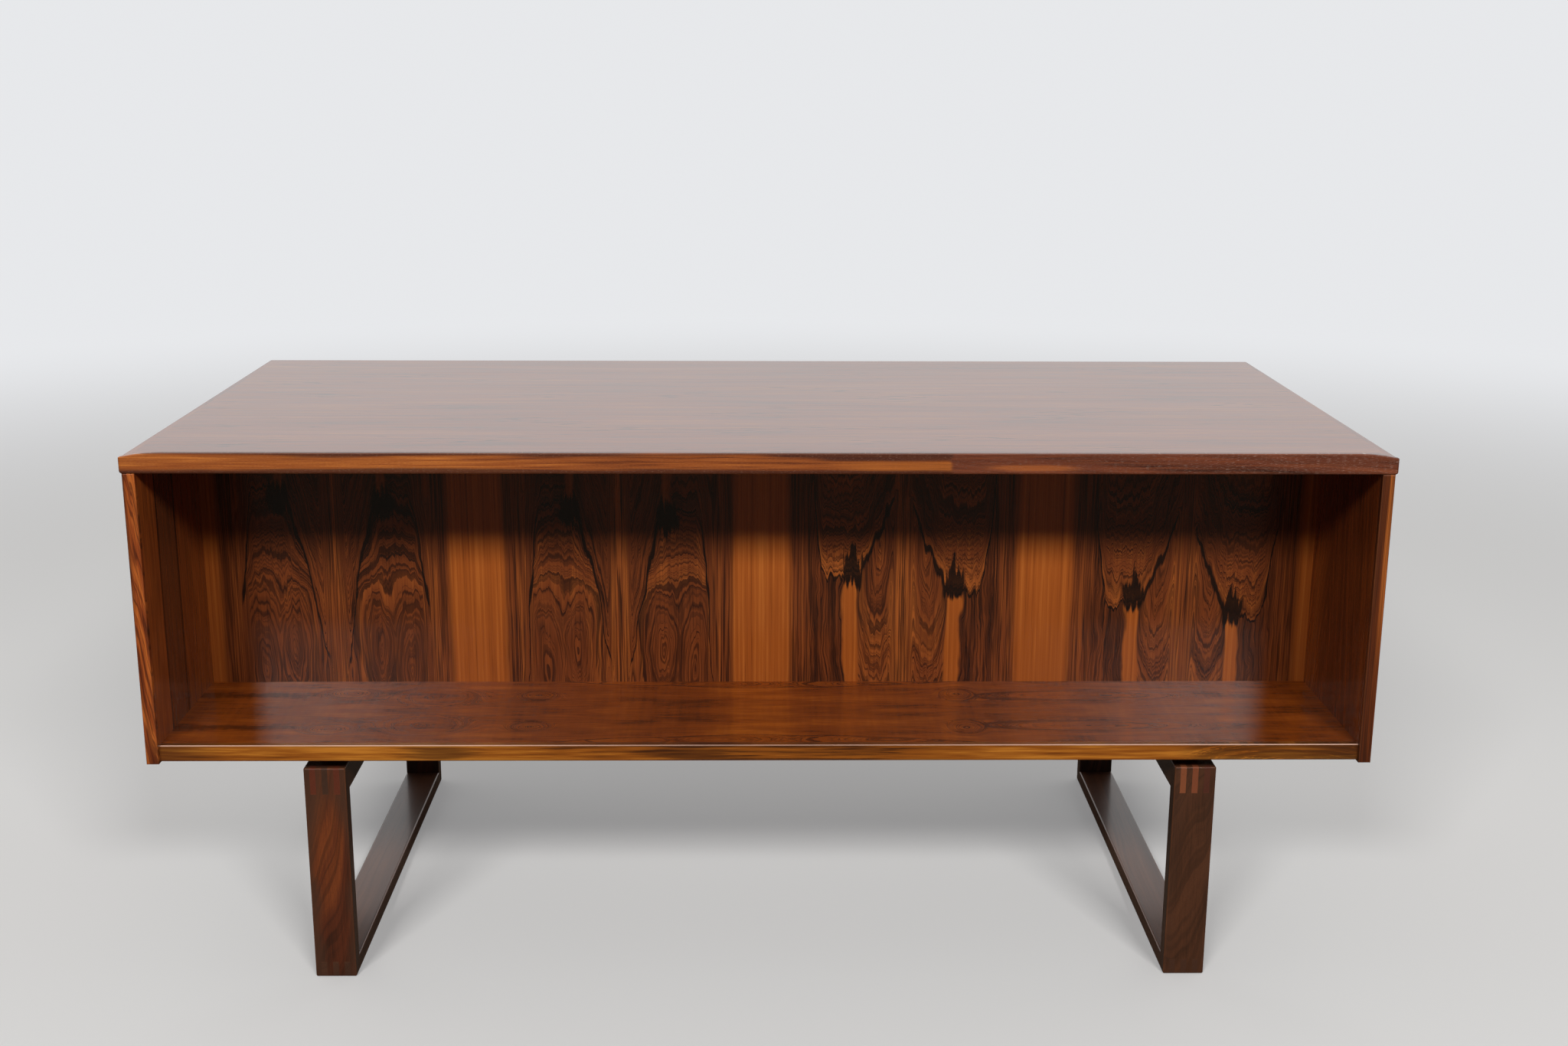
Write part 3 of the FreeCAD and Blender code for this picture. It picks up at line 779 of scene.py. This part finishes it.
def dress_case():
    dress("bay_shelf", shelf_material())
    dress("bay_shelf_lipping", shelf_lipping_material())
    dress("bay_back_panel", bookmatch_material())
    for index, side in enumerate(("left", "right")):
        dress(f"side_panel_{side}", side_material(side))
        dress(f"side_lipping_{side}_front", edge_material(side))
        rear = f"side_lipping_{side}_rear"
        dress_solid(rear, "Z", dim_orange, satin, 17.0 + index, pith=(0.03, 0.04))
        inner_side = f"pedestal_{side}_inner_side"
        dress_solid(inner_side, "Z", rosewood, inside, 13.0 + index, pith=(0.1, 0.4))
        dress_solid(f"pedestal_{side}_floor", "X", rosewood, inside, 15.0 + index)


# The book-matched panel


class Leaf:
    """A place in one of the panel's eight leaves, and what its figure is made from there."""

    def __init__(self, tree):
        self.tree = tree
        self.x, _, z = split(object_place(tree))
        self.across = (self.x + leaf_width * 3).math("PINGPONG", leaf_width)
        self.number = ((self.x + leaf_width * 4) / leaf_width).math("FLOOR")
        self.rise = z - bay_floor
        self.drift = self.number * 0.22
        self.right = self.x.smooth(*seam_blur_span)
        self.warp()
        self.place_figure()
        self.fibre = self.noise(900, 14)
        self.streak = self.noise(280, 2.2, detail=3.0)

    def noise(self, across_scale, rise_scale, shift=0.0, detail=2.0):
        """Noise that is the same in no two leaves."""
        drift = self.drift + shift
        return noise(self.tree, self.across * across_scale, self.rise * rise_scale, drift, detail)

    def both_ways(self, on_left, on_right):
        """One value on the left half of the panel and another on the right half."""
        return self.right * (on_right - on_left) + on_left

    def warp(self):
        """The leaf's own coordinates, warped so that no line runs true."""
        sway = self.noise(14, 6)
        self.wave = self.noise(50, 17, shift=3.0)
        self.flame = self.noise(110, 9, shift=1.0)
        self.fray = self.noise(300, 16, detail=3.0)
        self.inward = self.across + sway * 0.024 + self.wave * 0.008
        self.upward = self.rise + self.wave * 0.020 + self.flame * 0.040 + self.fray * 0.014

    def place_figure(self):
        """How deep a place is inside the arch or bowl, from its tip and from its whole rim."""
        arch = self.number * arch_step + arch_tip
        bowl = self.number * bowl_step + bowl_tip
        self.depth = (self.upward - self.both_ways(arch, bowl)) * self.both_ways(-1.0, 1.0)
        inner_slope = self.both_ways(5.0, 2.6)
        outer_slope = 10.0
        lean = (flank_in - self.inward).math("SMOOTH_MAX", 0.0, 0.01) * inner_slope
        upright = (self.inward - flank_out).math("SMOOTH_MAX", 0.0, 0.01) * outer_slope
        self.inner = self.depth - lean - upright
        self.within = self.inner.smooth(*rim_span)
        on_inner_flank = self.inward.smooth(*flank_in_span)
        on_outer_flank = self.inward.smooth(*flank_out_span)
        self.steep = on_inner_flank * inner_slope + on_outer_flank * outer_slope + 1.0
        beside_seam = self.across.smooth(*seam_calm_span)
        self.calm = self.across.smooth(*band_calm_span).math("MAXIMUM", beside_seam)
        self.past_tip = abs(self.inward - tip_across)


def growth_field(leaf):
    """What the growth lines follow: on the left arches over two knots, on the right bowls and loops."""
    knots = nearest_rings(leaf.inward, leaf.upward, leaf_knots, 0.5) * 0.011
    arches = leaf.inner * -0.36 + 0.072
    on_left = arches.toward(knots, leaf.rise.smooth(*knots_span) * leaf.within)
    loops = rings(leaf.inward, leaf.upward, *leaf_loops) * 0.034
    beside_tongue = leaf.inward + leaf.wave * 0.012
    outside_bowl = loops.toward(beside_tongue, leaf.across.smooth(*past_nest_span))
    on_right = outside_bowl.toward(leaf.inner * 0.40, leaf.within)
    figure = leaf.both_ways(on_left, on_right)
    return figure.toward(leaf.across + leaf.wave * 0.002, leaf.calm)


def figured_wood(leaf):
    """The leaf's wood by broad bands, fibre and the zones across it, with its growth lines."""
    field = growth_field(leaf)
    broad = noise(leaf.tree, field * 60, leaf.rise * 2.5, leaf.drift)
    heart = leaf.across.smooth(*heart_span) * 0.22
    glow = leaf.within * leaf.right * leaf.depth.smooth(*glow_span) * 0.28
    beside = (1.0 - leaf.within) * leaf.right
    shaded = leaf.across.smooth(*shade_start_span) * leaf.across.smooth(*shade_end_span)
    shade = shaded * beside * -0.12
    nest = leaf.across.smooth(*nest_span) * beside * 0.12
    margin = leaf.across.smooth(*margin_span)
    zones = heart + glow + shade + nest + margin * 0.08
    quiet_streak = leaf.streak * (leaf.calm * 0.5 + 0.3)
    bands = broad * (0.9 - margin * 0.6)
    tone = bands + leaf.flame * 0.3 + leaf.fibre * 0.5 + quiet_streak + zones + 0.45
    wood = tone_colour(tone, tint(50, 23, 13), tint(118, 58, 26), tint(172, 93, 38))
    lines = thin_lines(leaf.tree, field, leaf.rise * 3, leaf.drift, 170, 0.06)
    fine_lines = thin_lines(leaf.tree, field, leaf.rise * 5, leaf.drift + 9.0, 420, 0.07)
    wood = mix(fine_lines * 0.7, wood, tint(40, 20, 13))
    return mix(lines * 0.9, wood, tint(24, 13, 10))


def band_wood(leaf):
    """The light wood of the bands at the leaves' outer edges."""
    tone = leaf.streak * 1.1 + leaf.fibre * 0.5 + 0.5
    wood = tone_colour(tone, tint(112, 52, 18), tint(168, 87, 31), tint(198, 113, 46))
    return mix(leaf.rise.smooth(*foot_span) * 0.22, wood, tint(84, 36, 14))


def inked(leaf, wood, light_wood):
    """Black ink along the rim, running down the fibres near its tip, and a light tongue beyond it."""
    drip = leaf.noise(330, 8, shift=2.0) * 0.05
    near_tip = leaf.past_tip.smooth(*near_tip_span)
    from_blot = abs(leaf.depth - 0.014 + drip + leaf.flame * 0.06)
    blot = near_tip * from_blot.smooth(*blot_span)
    outer_side = leaf.across.smooth(*outer_side_span)
    thick = leaf.depth.smooth(*thick_rim_span) * (1.0 - outer_side * 0.75)
    bleed = abs(leaf.rise - bleed_height).smooth(bleed_reach, 0.0)
    bleed = leaf.both_ways(1.0, 0.0) * outer_side * bleed
    rim_width = leaf.both_ways(0.0019, 0.0026)
    width = (thick + bleed) * (leaf.fray + 0.8) * rim_width + least_rim_width
    from_rim = abs(leaf.inner + drip * near_tip) / leaf.steep
    ink = from_rim.smooth(width * 1.4, width * 0.5).math("MAXIMUM", blot.smooth(0.22, 0.50))

    below_tip = leaf.past_tip.smooth(*below_tip_span) * leaf.depth.smooth(*smear_span)
    smear = below_tip * (1.0 - leaf.within) * 0.6
    wood = mix(smear * (leaf.fray + 0.8), wood, tint(30, 18, 13))
    tongue_half = leaf.both_ways(0.0060, 0.0092)
    tongue = (leaf.past_tip + leaf.wave * 0.008 - tongue_half).smooth(*tongue_edge_span)
    tongue = tongue * (leaf.depth + drip * 0.5).smooth(*tongue_span)
    wood = mix(tongue * leaf.both_ways(0.55, 1.0), wood, light_wood)
    open_zone = leaf.across.smooth(*band_open_span) * leaf.across.smooth(*seam_open_span)
    return mix(ink * open_zone * (1.0 - tongue) * 0.93, wood, tint(15, 9, 8))


def bookmatch_material():
    """Eight leaves of one flitch, opened like books: arches on the left half, bowls on the right."""
    material, tree, shader = new_material("wood.bay_back_panel")
    leaf = Leaf(tree)
    light_wood = band_wood(leaf)
    ragged = noise(tree, leaf.rise * 3, leaf.drift + 7.0, 0.0) * 0.010
    band = (leaf.across + ragged).smooth(*band_span)
    wood = mix(band, figured_wood(leaf), light_wood)
    # Painted shade at the panel's two ends, where the side panels shadow it
    wood = mix(abs(leaf.x).smooth(*panel_end_painted_shade_span) * 0.2, wood, tint(66, 31, 14))
    wood = inked(leaf, wood, light_wood)
    finish_veneer(tree, shader, wood, leaf.fibre, inside)
    return material


# The leg frames


def post_material(name, colours, seed, margin_share):
    """A post whose figure lies in a heart, with dark plain wood round it."""
    material, tree, shader = new_material("wood." + name)
    place = object_place(tree)
    low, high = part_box(name)
    middle = (low + high) / 2
    half = (high - low) / 2
    found = use_group(tree, grain, {
        "Place": board_place(tree, place, "Z", middle), "Pith": Vector((0.0, -0.03, 0.05)),
        "Seed": seed, "Taper": 0.14, "Sway": 0.09, "Rings": 90.0, "Lines": 0.55, "Ink": 0.3,
        **colours,
    })
    x, y, z = split(place)
    waver = noise(tree, z * 9, y * 12, seed) * 1.2
    heart_x = middle.x + half.x * 0.12
    heart_z = middle.z - half.z * 0.25
    heart = rings(x, z, heart_x, heart_z, half.x * 0.95, half.z * 1.35)
    margin = (heart + waver).smooth(0.55, 1.15) * margin_share
    colour = mix(margin, found["Colour"], tint(76, 49, 35))
    colour = worn(tree, place, name, colour, satin)
    finish_board(tree, shader, colour, found["Roughness"], found["Height"], satin)
    return material


def rail_material(name, seed, finger_tints):
    """A rail, with a tint for the end of each of its fingers, which show in the post's face."""
    material, tree, shader = new_material("wood." + name)
    place = object_place(tree)
    low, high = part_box(name)
    turned = board_place(tree, place, "Y", (low + high) / 2)
    found = use_group(tree, grain, {
        "Place": turned, "Pith": Vector((0.0, 0.06, -0.05)), "Seed": seed, "Ink": 0.3, **post_grey,
    })
    colour = worn(tree, place, name, found["Colour"], satin)
    x, y, z = split(place)
    at_face = (y - low.y).smooth(*finger_end_span)
    speck = noise(tree, x * 900, y * 60, z * 260) + 0.5
    pitch = (high.x - low.x) / corner_fingers

    # Every second finger of a corner belongs to the rail, from the second one on
    for index, finger in enumerate(finger_tints):
        finger_middle = low.x + pitch * (index * 2 + 1.5)
        mask = abs(x - finger_middle).smooth(pitch * 0.8, pitch * 0.7)
        colour = mix(mask * at_face * (speck * 0.5 + 0.5), colour, finger)
    finish_board(tree, shader, colour, found["Roughness"], found["Height"], satin)
    return material


def dress_frame(side, colours, seed, margin_share, top_finger_tints):
    """One leg frame. The fingers at its foot are as dull as its posts, and its bearer has none."""
    for index, piece in enumerate(("near_post", "far_post")):
        name = f"leg_{side}_{piece}"
        dress(name, post_material(name, colours, seed + index, margin_share))
    foot_tints = (tint(72, 46, 34),) * 3
    rails = {"top_rail": top_finger_tints, "bottom_rail": foot_tints, "bearer": ()}
    for index, (piece, finger_tints) in enumerate(rails.items()):
        name = f"leg_{side}_{piece}"
        dress(name, rail_material(name, seed + 2 + index, finger_tints))


def dress_legs():
    left_fingers = (tint(104, 46, 30), tint(64, 44, 34), tint(104, 46, 30))
    right_fingers = (tint(150, 84, 52), tint(142, 76, 48), tint(84, 42, 32))
    dress_frame("left", post_brown, 31.0, 0.85, left_fingers)
    dress_frame("right", post_grey, 41.0, 0.35, right_fingers)


# The drawers and the fixings


def dress_drawers():
    """The fronts of a pedestal share one pith, so their grain runs on from drawer to drawer."""
    front_seeds = {"left": 50.0, "right": 49.0}
    box_axes = {"left_side": "Y", "right_side": "Y", "back": "X", "bottom": "X"}
    seed = 51.0
    for name in ("top_left", "middle_left", "bottom_left", "top_right", "deep_right"):
        side = name.split("_")[1]
        low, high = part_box(f"pedestal_{side}_floor")
        dress_solid(
            f"drawer_{name}_front", "X", rosewood, satin, front_seeds[side],
            pith=(0.2, 0.17), middle=(low + high) / 2, Sway=0.05, Rings=80.0,
        )
        for piece, axis in box_axes.items():
            board = f"drawer_{name}_{piece}"
            dress_solid(board, axis, mahogany, plain, seed, Contrast=0.7, Lines=0.1, Ink=0.0)
            seed += 1.0
    for name in ("drawer_runners_left", "drawer_runners_right", "drawer_stops", "desktop_cleats"):
        dress_solid(name, "Y", mahogany, plain, seed, Lines=0.1, Ink=0.0)
        seed += 1.0


def steel_material(node_name):
    """Dull steel with cloudy patches."""
    material, tree, shader = new_material("plain." + node_name)
    x, y, z = split(object_place(tree))
    patch = noise(tree, x * 900, y * 900, z * 900, detail=3.0)
    colour = mix(patch + 0.5, tint(150, 146, 138), tint(104, 98, 90))
    feed(tree, shader.inputs["Base Color"], colour)
    feed(tree, shader.inputs["Roughness"], patch * 0.3 + 0.42)
    shader.inputs["Metallic"].default_value = 1.0
    return material


def dress_fixings():
    dress_solid("case_dowels", "X", mahogany, plain, 91.0, Ink=0.0)
    for name in ("leg_screws", "desktop_screws"):
        dress(name, steel_material(name))


# Stage


def look_at(place, target):
    return (target - place).to_track_quat("-Z", "Y")


def camera():
    """The photograph's viewpoint, with the roll about the line of sight last."""
    right = Vector((math.cos(camera_yaw), math.sin(camera_yaw), 0.0))
    level = Vector((-math.sin(camera_yaw), math.cos(camera_yaw), 0.0))
    ahead = level * math.cos(camera_pitch) - Vector((0.0, 0.0, math.sin(camera_pitch)))
    up = level * math.sin(camera_pitch) + Vector((0.0, 0.0, math.cos(camera_pitch)))
    rolled_right = right * math.cos(camera_roll) + up * math.sin(camera_roll)
    rolled_up = up * math.cos(camera_roll) - right * math.sin(camera_roll)
    data = bpy.data.cameras.new("camera")
    data.sensor_fit = "HORIZONTAL"
    data.sensor_width = sensor_width
    data.lens = focal_pixels / image_width * sensor_width
    made = bpy.data.objects.new("camera", data)
    turn = Matrix((rolled_right, rolled_up, -ahead)).transposed()
    made.matrix_world = Matrix.Translation(camera_place) @ turn.to_4x4()
    bpy.context.scene.collection.objects.link(made)
    bpy.context.scene.camera = made


def lamp(name, place, size, power, diffuse=True, glossy=True, only=None):
    """A soft rectangular lamp that the camera doesn't see. It may light one node only."""
    data = bpy.data.lights.new(name, "AREA")
    data.shape = "RECTANGLE"
    data.size, data.size_y = size
    data.energy = power
    made = bpy.data.objects.new(name, data)
    made.location = place
    made.rotation_mode = "QUATERNION"
    made.rotation_quaternion = look_at(place, lamp_aim)
    made.visible_camera = False
    made.visible_diffuse = diffuse
    made.visible_glossy = glossy
    bpy.context.scene.collection.objects.link(made)
    if only:
        lit = bpy.data.collections.new(name + "_lights")
        lit.objects.link(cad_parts[only])
        made.light_linking.receiver_collection = lit


def lamps():
    """On each side a key lamp without gloss, a dim lamp for gloss alone, and the sheen lamps."""
    for side, sign in (("left", -1), ("right", 1)):
        high = Vector((sign * lamp_side, -lamp_back, key_height))
        lamp("key_" + side, high, key_size, key_power, glossy=False)
        lamp("gloss_" + side, high, gloss_size, gloss_power, diffuse=False)
        low = Vector((sign * lamp_side, -lamp_back, sheen_height))
        for node_name, power in sheen_powers.items():
            name = f"sheen_{side}_{node_name}"
            lamp(name, low, sheen_size, power, diffuse=False, only=node_name)


def surround():
    """A pale room, brighter behind the desk than in front of it. The camera sees one plain tone."""
    world = bpy.data.worlds.new("surround")
    bpy.context.scene.world = world
    world.use_nodes = True
    tree = world.node_tree
    coordinates = tree.nodes.new("ShaderNodeTexCoord")
    _, y, z = split(Field(tree, coordinates.outputs["Generated"]))
    level = y.smooth(-0.35, 0.35) * (surround_back - surround_front) + surround_front
    level = level + (surround_up - level) * z.smooth(0.6, 0.95)
    room = point(tree, level, level, level)
    path = tree.nodes.new("ShaderNodeLightPath")
    seen = Field(tree, path.outputs["Is Camera Ray"])
    background = tree.nodes["Background"]
    feed(tree, background.inputs["Color"], mix(seen, room, backdrop_tint))


def floor_material():
    """Pale matte that fades into the backdrop, and bounces less light than it shows."""
    material = bpy.data.materials.new("floor")
    material.use_nodes = True
    tree = material.node_tree
    tree.nodes.remove(tree.nodes["Principled BSDF"])
    x, y, _ = split(object_place(tree))
    distance = (x * x + y * y).math("SQRT")
    path = tree.nodes.new("ShaderNodeLightPath")
    shown = Field(tree, path.outputs["Is Camera Ray"])
    matte = tree.nodes.new("ShaderNodeBsdfDiffuse")
    feed(tree, matte.inputs["Color"], mix(shown, tint(92, 84, 74), tint(236, 234, 231)))
    glow = tree.nodes.new("ShaderNodeEmission")
    glow.inputs["Color"].default_value = backdrop_tint
    blend = tree.nodes.new("ShaderNodeMixShader")
    feed(tree, blend.inputs[0], (distance.smooth(floor_near, floor_far) * 0.8 + 0.2) * shown)
    tree.links.new(matte.outputs[0], blend.inputs[1])
    tree.links.new(glow.outputs[0], blend.inputs[2])
    tree.links.new(blend.outputs[0], tree.nodes["Material Output"].inputs["Surface"])
    return material


def floor():
    half = floor_size / 2
    mesh = bpy.data.meshes.new("floor")
    corners = [(-half, -half, 0.0), (half, -half, 0.0), (half, half, 0.0), (-half, half, 0.0)]
    mesh.from_pydata(corners, [], [(0, 1, 2, 3)])
    mesh.materials.append(floor_material())
    made = bpy.data.objects.new("floor", mesh)
    bpy.context.scene.collection.objects.link(made)


dress_top()
dress_case()
dress_legs()
dress_drawers()
dress_fixings()
camera()
lamps()
surround()
floor()
bpy.context.scene.view_settings.view_transform = "Standard"
